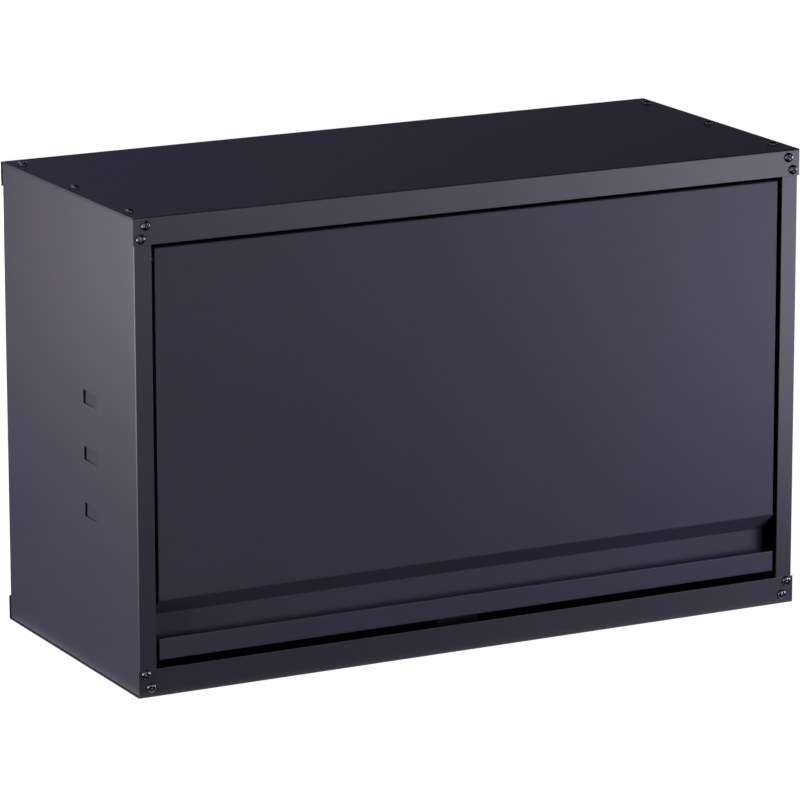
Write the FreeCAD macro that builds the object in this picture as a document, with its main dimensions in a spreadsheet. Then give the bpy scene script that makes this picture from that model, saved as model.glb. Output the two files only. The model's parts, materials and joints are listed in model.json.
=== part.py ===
import FreeCAD
import Part
import math
import os

import Sketcher
from FreeCAD import Placement, Rotation, Vector

# A steel wall cabinet with an up-flip door, in millimetres.
# X runs to the right seen from the front, Y to the back, Z up.
# The origin is under the middle of the cabinet, on the plane that the screw heads below it stand on.

doc = FreeCAD.newDocument("GarageCabinet")
sheet = doc.addObject("Spreadsheet::Sheet", "Sizes")

SIZES = (
    # The carcass
    ("cabinet_width", 711, "across the top panel"),
    ("cabinet_depth", 305, "front face of the rails to back face of the rear flanges"),
    ("cabinet_height", 457, "under the bottom sheet to over the top sheet"),
    ("steel", 1, "sheet steel of carcass and door"),
    ("bend_radius", 0.5, "inside radius of a fold"),
    ("edge_round", 0.4, "outer edge of a cut sheet"),
    ("corner_margin", 0.5, "how far a flange stops short of the fold beside it"),
    ("panel_gap", 0.3, "clearance round a panel laid inside others"),
    ("side_inset", 1, "side panel stands in from the end of the top panel"),
    ("stile_width", 18.5, "cabinet side to edge of the opening"),
    ("rear_stile", 18, "rear flange of a side panel"),
    ("inner_flange", 22, "top and bottom flanges of a side panel"),
    ("top_rail", 26, "front flange of the top panel"),
    ("bottom_rail", 27, "front flange of the bottom panel"),
    ("rear_rail", 24, "rear flange of the top and bottom panels"),
    # The pan head screws of the carcass
    ("head_radius", 4.75, "pan head"),
    ("head_height", 3, "pan head"),
    ("screw_radius", 2.45, "screw shank"),
    ("screw_length", 8, "under the head"),
    ("screw_hole", 2.75, "hole radius in the sheets"),
    ("recess_width", 1.1, "one arm of the cross recess"),
    ("recess_span", 5, "across the cross recess"),
    ("nut_radius", 4.4, "round clinch nut"),
    ("nut_height", 3.5, "round clinch nut"),
    ("nut_play", 0.05, "round the shank in its nut"),
    ("outer_screw_in", 12.4, "corner screw near the rail's outer edge, from the cabinet side"),
    ("outer_screw_down", 7.5, "the same screw, from the top"),
    ("outer_screw_up", 9.5, "the same screw, from the bottom"),
    ("inner_screw_in", 7.4, "other corner screw, from the cabinet side"),
    ("inner_screw_down", 19.9, "the same screw, from the top"),
    ("inner_screw_up", 22.8, "the same screw, from the bottom"),
    ("end_screw_in", 11, "top and bottom screws, from the cabinet side"),
    ("end_screw_front", 33, "first of them, from the front"),
    ("end_screw_back", 27, "last of them, from the back"),
    # The lanced tabs that carry the shelf
    ("tab_height", 13, "lanced tab"),
    ("tab_length", 31, "lanced tab"),
    ("tab_reach", 2, "how far its free end stands in"),
    ("tab_slit", 0.1, "cut above and below the tab"),
    ("tab_end_gap", 0.6, "cut past the free end"),
    ("tab_from_front", 88.5, "front end of the tab"),
    ("tab_lowest", 155, "middle of the lowest tab over the bottom"),
    ("tab_pitch", 55, "tab to tab"),
    ("tab_rows", 3, "tabs in a column"),
    ("shelf_row", 1, "rows above the lowest that the shelf lies on"),
    ("rear_tab_centre", 250, "rear tab column from the middle"),
    # The shelf
    ("shelf_front_gap", 72.5, "front plane to the shelf's front edge"),
    ("shelf_side_gap", 0.5, "shelf to side panel"),
    ("shelf_back_gap", 0.5, "shelf to back panel"),
    ("shelf_lip", 25, "front lip"),
    ("shelf_return", 10, "fold under the front lip"),
    ("shelf_upstand", 12, "rear lip"),
    ("stiffener_depth", 14, "channel under the shelf"),
    ("stiffener_width", 40, "across its flanges"),
    ("stiffener_web", 18, "across its web"),
    ("stiffener_end_gap", 20, "side panel to the channel's end"),
    # The back
    ("wall_hole", 4, "hole radius for a wall screw"),
    ("wall_hole_span", 406.4, "between wall holes, one stud spacing"),
    ("wall_hole_edge", 70, "wall holes to top or bottom"),
    ("bar_height", 40, "mounting bar"),
    ("bar_steel", 3, "mounting bar"),
    ("bar_end_gap", 24, "side panel to bar end"),
    ("rivet_radius", 2, "carcass and door rivets"),
    ("rivet_head", 3.6, "rivet head radius"),
    ("rivet_rise", 1, "rivet head height"),
    ("rivet_tail", 3, "rivet tail radius"),
    ("back_rivet_edge", 62, "first and last back rivet to bottom or top"),
    ("notch_margin", 0.9, "corner nuts to the notched corners of the back panel"),
    # The door
    ("door_recess", 2, "door face behind the rail face"),
    ("door_gap_side", 4, "door to stile"),
    ("door_gap_top", 3.6, "door to top rail"),
    ("door_gap_bottom", 7, "door to bottom rail"),
    ("pull_height", 58, "door bottom to the lower edge of the main face"),
    ("pull_depth", 20, "finger recess behind the face"),
    ("pull_drop", 18.6, "height of the slanted wall over the recess"),
    ("lip_height", 20.7, "bar in front of the finger recess"),
    ("hem_height", 10, "doubled edge of the bar"),
    ("hem_thickness", 2.2, "doubled edge of the bar"),
    ("skin_lip", 12, "inward lip of the door's skin"),
    ("liner_gap", 0.5, "liner inside the door's outline"),
    ("liner_lap", 12, "liner over the wall of the finger recess"),
    ("channel_centre", 150, "door channel from the middle"),
    ("channel_web", 24, "door channel"),
    ("channel_flange", 14, "door channel"),
    ("channel_end_gap", 8, "door channel to the slanted wall and the top lip"),
    ("door_rivet_edge", 52, "first and last side rivet to the liner's ends"),
    # The pivots of the door
    ("pivot_down", 12, "pivot under the door's top edge"),
    ("pivot_in", 8, "pivot behind the door's face"),
    ("shoulder_radius", 4, "shoulder of the pivot screw"),
    ("thread_radius", 3, "threaded end of the pivot screw"),
    ("pivot_head_radius", 5.8, "pivot screw head"),
    ("pivot_head_height", 4, "pivot screw head"),
    ("hex_key", 2.3, "corner radius of the key socket"),
    ("running_play", 0.05, "radial clearance of turning parts"),
    ("fixed_play", 0.05, "radial clearance of seated parts"),
    ("bush_wall", 1.5, "nylon bush"),
    ("bush_flange_radius", 7.5, "nylon bush"),
    ("bush_flange", 1, "nylon bush"),
    ("bush_tail", 1, "bush beyond its plate"),
    ("plate_steel", 2, "pivot plates and strut brackets"),
    ("frame_plate_half", 15, "frame pivot bracket above and below the pivot"),
    ("frame_plate_depth", 22, "frame pivot bracket behind the stile"),
    ("frame_plate_foot", 14, "foot of the frame pivot bracket"),
    ("door_plate_up", 10, "door pivot plate above the pivot"),
    ("door_plate_down", 20, "door pivot plate below the pivot"),
    ("door_plate_margin", 0.9, "door pivot plate to the folds beside it"),
    ("pivot_nut_flat", 5, "half across the flats of the pivot nut"),
    ("pivot_nut_height", 5, "pivot nut"),
    # The gas struts
    ("strut_inset", 15, "strut axis inside the edge of the opening"),
    ("strut_setback", 34, "strut axis behind the pivot"),
    ("strut_drop", 24, "upper ball under the pivot"),
    ("strut_reach", 155, "lower ball under the pivot"),
    ("ball_radius", 4, "ball stud"),
    ("neck_radius", 2.5, "ball stud"),
    ("neck_play", 0.4, "neck in the mouth of the socket"),
    ("collar_radius", 4.5, "ball stud"),
    ("collar_height", 1.5, "ball stud"),
    ("stud_rivet", 1, "riveted end of a stud"),
    ("socket_radius", 6.5, "ball socket"),
    ("socket_width", 10, "ball socket"),
    ("socket_neck", 4.5, "neck radius of the socket"),
    ("socket_reach", 14, "ball centre to the socket's end"),
    ("socket_thread", 6, "depth of the threaded end in the socket"),
    ("open_pivot_gap", 0.3, "lower stud to its socket"),
    ("cylinder_radius", 7.5, "strut cylinder"),
    ("cylinder_wall", 1, "strut cylinder"),
    ("cylinder_cap", 4, "closed end"),
    ("gland_length", 6, "seal end"),
    ("rod_radius", 3, "strut rod"),
    ("rod_show", 8, "rod outside the cylinder when shut"),
    ("piston_length", 6, "piston"),
    ("piston_play", 0.1, "piston in its cylinder"),
    ("piston_stop", 2, "piston to the closed end when shut"),
    ("bracket_half", 12, "strut bracket above and below the ball"),
    ("bracket_stand", 10, "strut axis to the bracket"),
    ("bracket_front", 9, "upper bracket in front of the ball"),
    ("bracket_back", 12, "upper bracket behind the ball"),
    ("bracket_foot", 22, "foot of the upper bracket"),
    ("door_foot", 24, "foot of the lower bracket"),
    ("door_ear", 8, "lower bracket beyond the ball"),
    ("foot_screw_in", 11, "lower bracket screws from the foot's end"),
    ("foot_screw_half", 7, "lower bracket screws above and below the ball"),
    # The door stops and the magnetic catch
    ("stop_steel", 1.5, "door stop"),
    ("stop_height", 24, "door stop"),
    ("stop_low", 110, "door stop over the bottom"),
    ("stop_offset", 1.5, "door stop outside the edge of the opening"),
    ("stop_foot", 11, "foot of the door stop on the stile"),
    ("stop_reach", 18, "door stop inside the edge of the opening"),
    ("buffer_in", 9, "rubber buffer inside the edge of the opening"),
    ("buffer_radius", 5, "rubber buffer"),
    ("buffer_length", 5.5, "rubber buffer"),
    ("buffer_stem", 1.6, "rubber buffer"),
    ("rest_gap", 0.3, "door to what it rests against"),
    ("catch_half", 22, "half the catch's width"),
    ("catch_low", 33, "catch over the bottom"),
    ("catch_height", 18, "catch"),
    ("catch_depth", 14, "catch"),
    ("pole_steel", 1.2, "pole plate"),
    ("pole_rise", 0.5, "pole plates in front of the catch"),
    ("magnet_height", 6, "magnet between the pole plates"),
    ("magnet_half", 12, "half the magnet's width"),
    ("catch_steel", 1.5, "catch bracket"),
    ("catch_foot", 20, "foot of the catch bracket"),
    ("catch_screw", 17, "catch screws from the middle"),
    ("small_head", 3.2, "catch screw head radius"),
    ("small_rise", 2, "catch screw head"),
    ("small_shank", 1.5, "catch screw shank radius"),
    ("small_length", 9, "catch screw under the head"),
)

for row, (alias, number, note) in enumerate(SIZES, 1):
    sheet.set("A%d" % row, alias)
    sheet.set("B%d" % row, str(number))
    sheet.setAlias("B%d" % row, alias)
    sheet.set("C%d" % row, note)
doc.recompute()


class Size:
    """A dimension: its number, and the sheet formula that keeps what uses it bound to the sheet."""

    def __init__(self, number, formula):
        self.number = float(number)
        self.formula = formula

    def __add__(self, other):
        other = as_size(other)
        return Size(self.number + other.number, "(%s + %s)" % (self.formula, other.formula))

    def __sub__(self, other):
        other = as_size(other)
        return Size(self.number - other.number, "(%s - %s)" % (self.formula, other.formula))

    def __mul__(self, other):
        other = as_size(other)
        return Size(self.number * other.number, "(%s * %s)" % (self.formula, other.formula))

    def __truediv__(self, other):
        other = as_size(other)
        return Size(self.number / other.number, "(%s / %s)" % (self.formula, other.formula))

    def __neg__(self):
        return Size(-self.number, "(-1 * %s)" % self.formula)

    def __radd__(self, other):
        return as_size(other) + self

    def __rsub__(self, other):
        return as_size(other) - self

    def __rmul__(self, other):
        return as_size(other) * self


def as_size(value):
    return value if isinstance(value, Size) else Size(value, repr(float(value)))


def size(alias):
    return Size(sheet.get(alias), "Sizes." + alias)


def bind(target, path, value):
    target.setExpression(path, as_size(value).formula)


def place(target, x, y, z, axis=(0, 0, 1), degrees=0):
    """Turn the object about its own origin and put it at a place held by the sheet."""
    target.Placement = Placement(Vector(0, 0, 0), Rotation(Vector(*axis), degrees))
    for name, value in zip("xyz", (x, y, z)):
        bind(target, ".Placement.Base." + name, value)


# Building blocks: sketches through named points, and pads and pockets between two levels.

NORMAL_SIGN = {"XY_Plane": 1, "XZ_Plane": -1, "YZ_Plane": 1}


def new_body(name):
    body = doc.addObject("PartDesign::Body", name)
    body.Label = name
    return body


def origin_feature(body, role):
    return [feature for feature in body.Origin.OriginFeatures if feature.Role == role][0]


def new_sketch(body, name, plane, level):
    sketch = body.newObject("Sketcher::SketchObject", name)
    sketch.AttachmentSupport = (origin_feature(body, plane), [""])
    sketch.MapMode = "FlatFace"
    bind(sketch, ".AttachmentOffset.Base.z", level * NORMAL_SIGN[plane])
    return sketch


def hold(sketch, constraint, value):
    """Add a dimension to the sketch and bind it to the sheet."""
    index = sketch.addConstraint(constraint)
    bind(sketch, "Constraints[%d]" % index, value)


def draw_outline(sketch, points):
    corners = [(as_size(across), as_size(up)) for across, up in points]
    count = len(corners)
    first = sketch.GeometryCount
    spots = [Vector(across.number, up.number, 0) for across, up in corners]
    for i in range(count):
        sketch.addGeometry(Part.LineSegment(spots[i], spots[(i + 1) % count]))
    for i in range(count):
        following = first + (i + 1) % count
        sketch.addConstraint(Sketcher.Constraint("Coincident", first + i, 2, following, 1))
    for i, (across, up) in enumerate(corners):
        hold(sketch, Sketcher.Constraint("DistanceX", -1, 1, first + i, 1, across.number), across)
        hold(sketch, Sketcher.Constraint("DistanceY", -1, 1, first + i, 1, up.number), up)


def draw_circles(sketch, centres, radius):
    for across, up in centres:
        across = as_size(across)
        up = as_size(up)
        centre = Vector(across.number, up.number, 0)
        index = sketch.addGeometry(Part.Circle(centre, Vector(0, 0, 1), radius.number))
        hold(sketch, Sketcher.Constraint("DistanceX", -1, 1, index, 3, across.number), across)
        hold(sketch, Sketcher.Constraint("DistanceY", -1, 1, index, 3, up.number), up)
        hold(sketch, Sketcher.Constraint("Radius", index, radius.number), radius)


def pad(body, name, plane, points, low, high):
    """Extrude an outline from one level to a higher one along the plane's world axis."""
    start = low if NORMAL_SIGN[plane] > 0 else high
    sketch = new_sketch(body, name + "_sketch", plane, as_size(start))
    draw_outline(sketch, points)
    feature = body.newObject("PartDesign::Pad", name)
    feature.Profile = sketch
    bind(feature, "Length", high - low)
    sketch.Visibility = False
    return feature


def pocket(body, name, plane, low, high, outlines=(), circles=(), radius=None):
    """Cut outlines or round holes out between two levels; a pocket runs against its sketch's normal."""
    before = solid_volume(body)
    start = high if NORMAL_SIGN[plane] > 0 else low
    sketch = new_sketch(body, name + "_sketch", plane, as_size(start))
    for points in outlines:
        draw_outline(sketch, points)
    if circles:
        draw_circles(sketch, circles, radius)
    feature = body.newObject("PartDesign::Pocket", name)
    feature.Profile = sketch
    bind(feature, "Length", high - low)
    if solid_volume(body) >= before - 0.001:
        raise RuntimeError("%s cuts nothing out of %s" % (name, body.Name))
    return feature


def solid_volume(body):
    doc.recompute()
    return body.Shape.Volume


def edges_through(shape, axis, spots):
    """The names of the straight edges that run along the axis through one of the spots.

    A spot gives the two other coordinates, in X, Y, Z order.
    """
    across = ["xyz".index(letter) for letter in "xyz" if letter != axis]
    wanted = [(as_size(a).number, as_size(b).number) for a, b in spots]
    names = []
    for number, edge in enumerate(shape.Edges, 1):
        if edge.Curve.TypeId != "Part::GeomLine":
            continue
        start = edge.Vertexes[0].Point
        end = edge.Vertexes[-1].Point
        if any(abs(start[i] - end[i]) > 1e-6 for i in across):
            continue
        if any(abs(start[across[0]] - a) < 1e-4 and abs(start[across[1]] - b) < 1e-4 for a, b in wanted):
            names.append("Edge%d" % number)
    return names


def round_edges(body, name, radius, axis, spots, other_axis=None, other_spots=()):
    """Round the straight edges along one axis, and along another one where they meet in corners."""
    doc.recompute()
    names = edges_through(body.Tip.Shape, axis, spots)
    if other_axis:
        names += edges_through(body.Tip.Shape, other_axis, other_spots)
    if not names:
        raise RuntimeError("%s finds no edge on %s" % (name, body.Name))
    base = body.Tip
    feature = body.newObject("PartDesign::Fillet", name)
    feature.Base = (base, names)
    bind(feature, "Radius", radius)
    return feature


def repeat_up(body, name, originals, pitch, rows):
    """Repeat features along Z."""
    pattern = body.newObject("PartDesign::LinearPattern", name)
    pattern.Originals = originals
    pattern.Direction = (origin_feature(body, "Z_Axis"), [""])
    bind(pattern, "Length", pitch * (rows - 1))
    bind(pattern, "Occurrences", rows)
    body.Tip = pattern
    return pattern


def turned(name, points):
    """A round piece: an outline of (radius, height) points turned about Z."""
    body = new_body(name)
    sketch = new_sketch(body, name + "_sketch", "XZ_Plane", as_size(0))
    draw_outline(sketch, points)
    feature = body.newObject("PartDesign::Revolution", name + "_turn")
    feature.Profile = sketch
    feature.ReferenceAxis = (sketch, ["V_Axis"])
    feature.Angle = 360
    return body


def mirrored(name, source):
    """The same piece on the other side of the cabinet."""
    copy = doc.addObject("Part::Mirroring", name)
    copy.Label = name
    copy.Source = source
    copy.Base = Vector(0, 0, 0)
    copy.Normal = Vector(1, 0, 0)
    return copy


def group(name, original, places):
    """Identical pieces in one sub-part; a place is x, y, z and the turn that faces the piece."""
    members = []
    for number, (x, y, z, axis, degrees) in enumerate(places, 1):
        link = doc.addObject("App::Link", "%s_%d" % (name, number))
        link.LinkedObject = original
        place(link, x, y, z, axis, degrees)
        members.append(link)
    compound = doc.addObject("Part::Compound", name)
    compound.Label = name
    compound.Links = members
    return compound


parts = []


def keep(piece):
    """List a finished sub-part for export."""
    parts.append(piece)
    return piece


# Levels and planes shared by the sub-parts

steel = size("steel")
bend_radius = size("bend_radius")
outer_bend = bend_radius + steel
edge_round = size("edge_round")
relief = outer_bend + size("corner_margin")
panel_gap = size("panel_gap")
tiny = 0.1

half_width = size("cabinet_width") / 2
front = -size("cabinet_depth") / 2
back = size("cabinet_depth") / 2
floor = size("head_height")
ceiling = floor + size("cabinet_height")
side_out = half_width - size("side_inset")
side_in = side_out - steel
stile_face = front + steel
rear_face = back - steel
opening_half = half_width - size("stile_width")
opening_top = ceiling - size("top_rail")
opening_bottom = floor + size("bottom_rail")

door_face = front + size("door_recess")
door_rear = door_face + size("pull_depth") + steel
door_half = opening_half - size("door_gap_side")
door_top = opening_top - size("door_gap_top")
door_bottom = opening_bottom + size("door_gap_bottom")
liner_rear = door_rear + steel
pivot_y = door_face + size("pivot_in")
pivot_z = door_top - size("pivot_down")

strut_x = opening_half - size("strut_inset")
strut_y = pivot_y + size("strut_setback")
upper_ball = pivot_z - size("strut_drop")
lower_ball = pivot_z - size("strut_reach")

FACE_FRONT = ((1, 0, 0), 90)
FACE_BACK = ((1, 0, 0), -90)
FACE_UP = ((0, 0, 1), 0)
FACE_DOWN = ((1, 0, 0), 180)
FACE_RIGHT = ((0, 1, 0), 90)
FACE_LEFT = ((0, 1, 0), -90)

# Where the screws go

corner_offsets = (
    (size("outer_screw_in"), size("outer_screw_down"), size("outer_screw_up")),
    (size("inner_screw_in"), size("inner_screw_down"), size("inner_screw_up")),
)
upper_corner_spots = []
lower_corner_spots = []
for side in (-1, 1):
    for inward, down, up in corner_offsets:
        upper_corner_spots.append((side * (half_width - inward), ceiling - down))
        lower_corner_spots.append((side * (half_width - inward), floor + up))
corner_spots = upper_corner_spots + lower_corner_spots

first_end_screw = front + size("end_screw_front")
last_end_screw = back - size("end_screw_back")
end_spots = []
for side in (-1, 1):
    for depth in (first_end_screw, (first_end_screw + last_end_screw) / 2, last_end_screw):
        end_spots.append((side * (half_width - size("end_screw_in")), depth))

rivet_column = side_out - size("rear_stile") / 2
back_rivet_low = floor + size("back_rivet_edge")
back_rivet_high = ceiling - size("back_rivet_edge")
back_rivet_levels = [back_rivet_low + (back_rivet_high - back_rivet_low) * step / 3 for step in range(4)]
back_rivet_spots = [(side * rivet_column, level) for side in (-1, 1) for level in back_rivet_levels]

wall_low = floor + size("wall_hole_edge")
wall_high = ceiling - size("wall_hole_edge")
wall_half = size("wall_hole_span") / 2


# Top and bottom panels: a sheet with a rail folded over the front and a flange over the back

def deck(name, outer, inward, rail, corner_holes):
    """One of the two panels: outer is its outside level, inward points to the middle of the cabinet."""
    body = new_body(name)
    inner = outer + inward * steel
    rail_edge = outer + inward * rail
    flange_edge = outer + inward * size("rear_rail")
    section = [
        (front, rail_edge),
        (front, outer),
        (back, outer),
        (back, flange_edge),
        (rear_face, flange_edge),
        (rear_face, inner),
        (stile_face, inner),
        (stile_face, rail_edge),
    ]
    pad(body, name + "_fold", "YZ_Plane", section, -half_width, half_width)
    round_edges(body, name + "_outer_bends", outer_bend, "x", [(front, outer), (back, outer)])
    round_edges(body, name + "_inner_bends", bend_radius, "x", [(stile_face, inner), (rear_face, inner)])
    round_edges(body, name + "_rail_edge", edge_round, "x", [(front, rail_edge)])
    low = outer if inward > 0 else outer - steel
    pocket(body, name + "_end_holes", "XY_Plane", low - tiny, low + steel + tiny,
           circles=end_spots, radius=size("screw_hole"))
    pocket(body, name + "_corner_holes", "XZ_Plane", front - tiny, back + tiny,
           circles=corner_holes, radius=size("screw_hole"))
    return keep(body)


deck("top_panel", ceiling, -1, size("top_rail"), upper_corner_spots)
deck("bottom_panel", floor, 1, size("bottom_rail"), lower_corner_spots)


# Side panels: a pan with a stile in front, a rear flange and two inner flanges

tab_half = size("tab_height") / 2
tab_start = front + size("tab_from_front")
tab_end = tab_start + size("tab_length")
tab_middle = floor + size("tab_lowest")


def side_panel(name):
    body = new_body(name)
    stile_edge = -opening_half
    plan = [
        (-side_out, stile_face),
        (stile_edge, stile_face),
        (stile_edge, stile_face + steel),
        (-side_in, stile_face + steel),
        (-side_in, rear_face - steel),
        (-side_out + size("rear_stile"), rear_face - steel),
        (-side_out + size("rear_stile"), rear_face),
        (-side_out, rear_face),
    ]
    low = floor + steel
    high = ceiling - steel
    pad(body, name + "_plan", "XY_Plane", plan, low + relief, high - relief)
    flange_edge = -side_out + size("inner_flange")
    section = [
        (-side_out, low),
        (flange_edge, low),
        (flange_edge, low + steel),
        (-side_in, low + steel),
        (-side_in, high - steel),
        (flange_edge, high - steel),
        (flange_edge, high),
        (-side_out, high),
    ]
    pad(body, name + "_flanges", "XZ_Plane", section, stile_face + relief, rear_face - relief)
    round_edges(body, name + "_upright_bends", outer_bend, "z",
                [(-side_out, stile_face), (-side_out, rear_face)])
    round_edges(body, name + "_flange_bends", outer_bend, "y", [(-side_out, low), (-side_out, high)])
    round_edges(body, name + "_opening_edge", edge_round, "z", [(stile_edge, stile_face)])
    window = [
        (tab_start, tab_middle - tab_half - size("tab_slit")),
        (tab_end + size("tab_end_gap"), tab_middle - tab_half - size("tab_slit")),
        (tab_end + size("tab_end_gap"), tab_middle + tab_half + size("tab_slit")),
        (tab_start, tab_middle + tab_half + size("tab_slit")),
    ]
    opening = pocket(body, name + "_window", "YZ_Plane", -side_out - tiny, -side_in + tiny,
                     outlines=[window])
    tab_plan = [
        (-side_out, tab_start),
        (-side_in, tab_start),
        (-side_in + size("tab_reach"), tab_end),
        (-side_out + size("tab_reach"), tab_end),
    ]
    tab = pad(body, name + "_tab", "XY_Plane", tab_plan, tab_middle - tab_half, tab_middle + tab_half)
    repeat_up(body, name + "_tabs", [opening, tab], size("tab_pitch"), size("tab_rows"))
    pocket(body, name + "_end_holes", "XY_Plane", floor, ceiling,
           circles=[spot for spot in end_spots if spot[0].number < 0], radius=size("screw_hole"))
    pocket(body, name + "_corner_holes", "XZ_Plane", front, back,
           circles=[spot for spot in corner_spots if spot[0].number < 0], radius=size("screw_hole"))
    pocket(body, name + "_rivet_holes", "XZ_Plane", rear_face - steel - tiny, rear_face + tiny,
           circles=[spot for spot in back_rivet_spots if spot[0].number < 0],
           radius=size("rivet_radius") + size("fixed_play"))
    return body


left_side = keep(side_panel("side_panel_left"))
keep(mirrored("side_panel_right", left_side))


# Back panel with the rear shelf tabs and the wall holes, and the two mounting bars on it

panel_back = rear_face - steel
panel_front = panel_back - steel
wall_spots = [(side * wall_half, level) for side in (-1, 1) for level in (wall_low, wall_high)]


def back_panel():
    body = new_body("back_panel")
    half = side_in - panel_gap
    low = floor + steel + panel_gap
    high = ceiling - steel - panel_gap
    notch_x = half_width - size("outer_screw_in") - size("nut_radius") - size("notch_margin")
    notch_low = floor + size("inner_screw_up") + size("nut_radius") + size("notch_margin")
    notch_high = ceiling - size("inner_screw_down") - size("nut_radius") - size("notch_margin")
    outline = [
        (-half, notch_low), (-notch_x, notch_low), (-notch_x, low),
        (notch_x, low), (notch_x, notch_low), (half, notch_low),
        (half, notch_high), (notch_x, notch_high), (notch_x, high),
        (-notch_x, high), (-notch_x, notch_high), (-half, notch_high),
    ]
    pad(body, "back_sheet", "XZ_Plane", outline, panel_front, panel_back)
    windows = []
    tabs = []
    for side, word in ((-1, "left"), (1, "right")):
        start = side * (size("rear_tab_centre") - size("tab_length") / 2)
        end = side * (size("rear_tab_centre") + size("tab_length") / 2)
        window = [
            (start, tab_middle - tab_half - size("tab_slit")),
            (end + side * size("tab_end_gap"), tab_middle - tab_half - size("tab_slit")),
            (end + side * size("tab_end_gap"), tab_middle + tab_half + size("tab_slit")),
            (start, tab_middle + tab_half + size("tab_slit")),
        ]
        windows.append(window)
        tabs.append((word, [
            (start, panel_back),
            (start, panel_front),
            (end, panel_front - size("tab_reach")),
            (end, panel_back - size("tab_reach")),
        ]))
    originals = [pocket(body, "back_windows", "XZ_Plane", panel_front - tiny, panel_back + tiny,
                        outlines=windows)]
    for word, plan in tabs:
        originals.append(pad(body, "back_tab_" + word, "XY_Plane", plan,
                             tab_middle - tab_half, tab_middle + tab_half))
    repeat_up(body, "back_tabs", originals, size("tab_pitch"), size("tab_rows"))
    pocket(body, "wall_holes", "XZ_Plane", panel_front - tiny, panel_back + tiny,
           circles=wall_spots, radius=size("wall_hole"))
    pocket(body, "back_rivet_holes", "XZ_Plane", panel_front - tiny, panel_back + tiny,
           circles=back_rivet_spots, radius=size("rivet_radius") + size("fixed_play"))
    return keep(body)


back_panel()


def mounting_bar(name, level):
    body = new_body(name)
    half = side_in - size("bar_end_gap")
    outline = [
        (-half, level - size("bar_height") / 2),
        (half, level - size("bar_height") / 2),
        (half, level + size("bar_height") / 2),
        (-half, level + size("bar_height") / 2),
    ]
    pad(body, name + "_bar", "XZ_Plane", outline, panel_front - size("bar_steel"), panel_front)
    pocket(body, name + "_holes", "XZ_Plane", panel_front - size("bar_steel") - tiny, panel_front + tiny,
           circles=[(-wall_half, level), (wall_half, level)], radius=size("wall_hole"))
    return keep(body)


mounting_bar("mounting_bar_upper", wall_high)
mounting_bar("mounting_bar_lower", wall_low)


# Shelf and the channel under it

shelf_under = tab_middle + tab_half + size("tab_pitch") * size("shelf_row")
shelf_top = shelf_under + steel
shelf_front = front + size("shelf_front_gap")
shelf_back = panel_front - size("shelf_back_gap")
shelf_half = side_in - size("shelf_side_gap")


def shelf():
    body = new_body("shelf")
    lip_end = shelf_top - size("shelf_lip")
    section = [
        (shelf_front, shelf_top),
        (shelf_front, lip_end),
        (shelf_front + size("shelf_return"), lip_end),
        (shelf_front + size("shelf_return"), lip_end + steel),
        (shelf_front + steel, lip_end + steel),
        (shelf_front + steel, shelf_under),
        (shelf_back, shelf_under),
        (shelf_back, shelf_top + size("shelf_upstand")),
        (shelf_back - steel, shelf_top + size("shelf_upstand")),
        (shelf_back - steel, shelf_top),
    ]
    pad(body, "shelf_fold", "YZ_Plane", section, -shelf_half, shelf_half)
    round_edges(body, "shelf_bends", outer_bend, "x",
                [(shelf_front, shelf_top), (shelf_front, lip_end), (shelf_back, shelf_under)])
    return keep(body)


shelf()


def shelf_stiffener():
    body = new_body("shelf_stiffener")
    middle = (shelf_front + shelf_back) / 2
    wide = size("stiffener_width") / 2
    narrow = size("stiffener_web") / 2
    depth = size("stiffener_depth")
    section = [
        (middle - wide, shelf_under),
        (middle - narrow + steel, shelf_under),
        (middle - narrow + steel, shelf_under - depth + steel),
        (middle + narrow - steel, shelf_under - depth + steel),
        (middle + narrow - steel, shelf_under),
        (middle + wide, shelf_under),
        (middle + wide, shelf_under - steel),
        (middle + narrow, shelf_under - steel),
        (middle + narrow, shelf_under - depth),
        (middle - narrow, shelf_under - depth),
        (middle - narrow, shelf_under - steel),
        (middle - wide, shelf_under - steel),
    ]
    reach = side_in - size("stiffener_end_gap")
    pad(body, "stiffener_fold", "YZ_Plane", section, -reach, reach)
    return keep(body)


shelf_stiffener()


# Pan head screws with a cross recess, and the clinch nuts they go into

def pan_screw(name, head_radius, head_height, shank, length, recess_width, recess_span):
    body = turned(name, [(0, head_height), (head_radius, head_height), (head_radius, 0),
                         (shank, 0), (shank, -length), (0, -length)])
    doc.recompute()
    rim = [number for number, edge in enumerate(body.Tip.Shape.Edges, 1)
           if edge.Curve.TypeId == "Part::GeomCircle"
           and abs(edge.Curve.Radius - head_radius.number) < 1e-4
           and abs(edge.Curve.Center.z - head_height.number) < 1e-4]
    base = body.Tip
    dome = body.newObject("PartDesign::Fillet", name + "_dome")
    dome.Base = (base, ["Edge%d" % number for number in rim])
    bind(dome, "Radius", head_height * 0.85)
    arm = recess_width / 2
    reach = recess_span / 2
    cross = [(-reach, -arm), (-arm, -arm), (-arm, -reach), (arm, -reach), (arm, -arm), (reach, -arm),
             (reach, arm), (arm, arm), (arm, reach), (-arm, reach), (-arm, arm), (-reach, arm)]
    pocket(body, name + "_cross", "XY_Plane", head_height * 0.4, head_height, outlines=[cross])
    return body


carcass_screw = pan_screw("carcass_screw", size("head_radius"), size("head_height"), size("screw_radius"),
                          size("screw_length"), size("recess_width"), size("recess_span"))
carcass_nut = turned("carcass_nut", [
    (size("screw_radius") + size("nut_play"), 0),
    (size("nut_radius"), 0),
    (size("nut_radius"), -size("nut_height")),
    (size("screw_radius") + size("nut_play"), -size("nut_height")),
])

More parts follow.
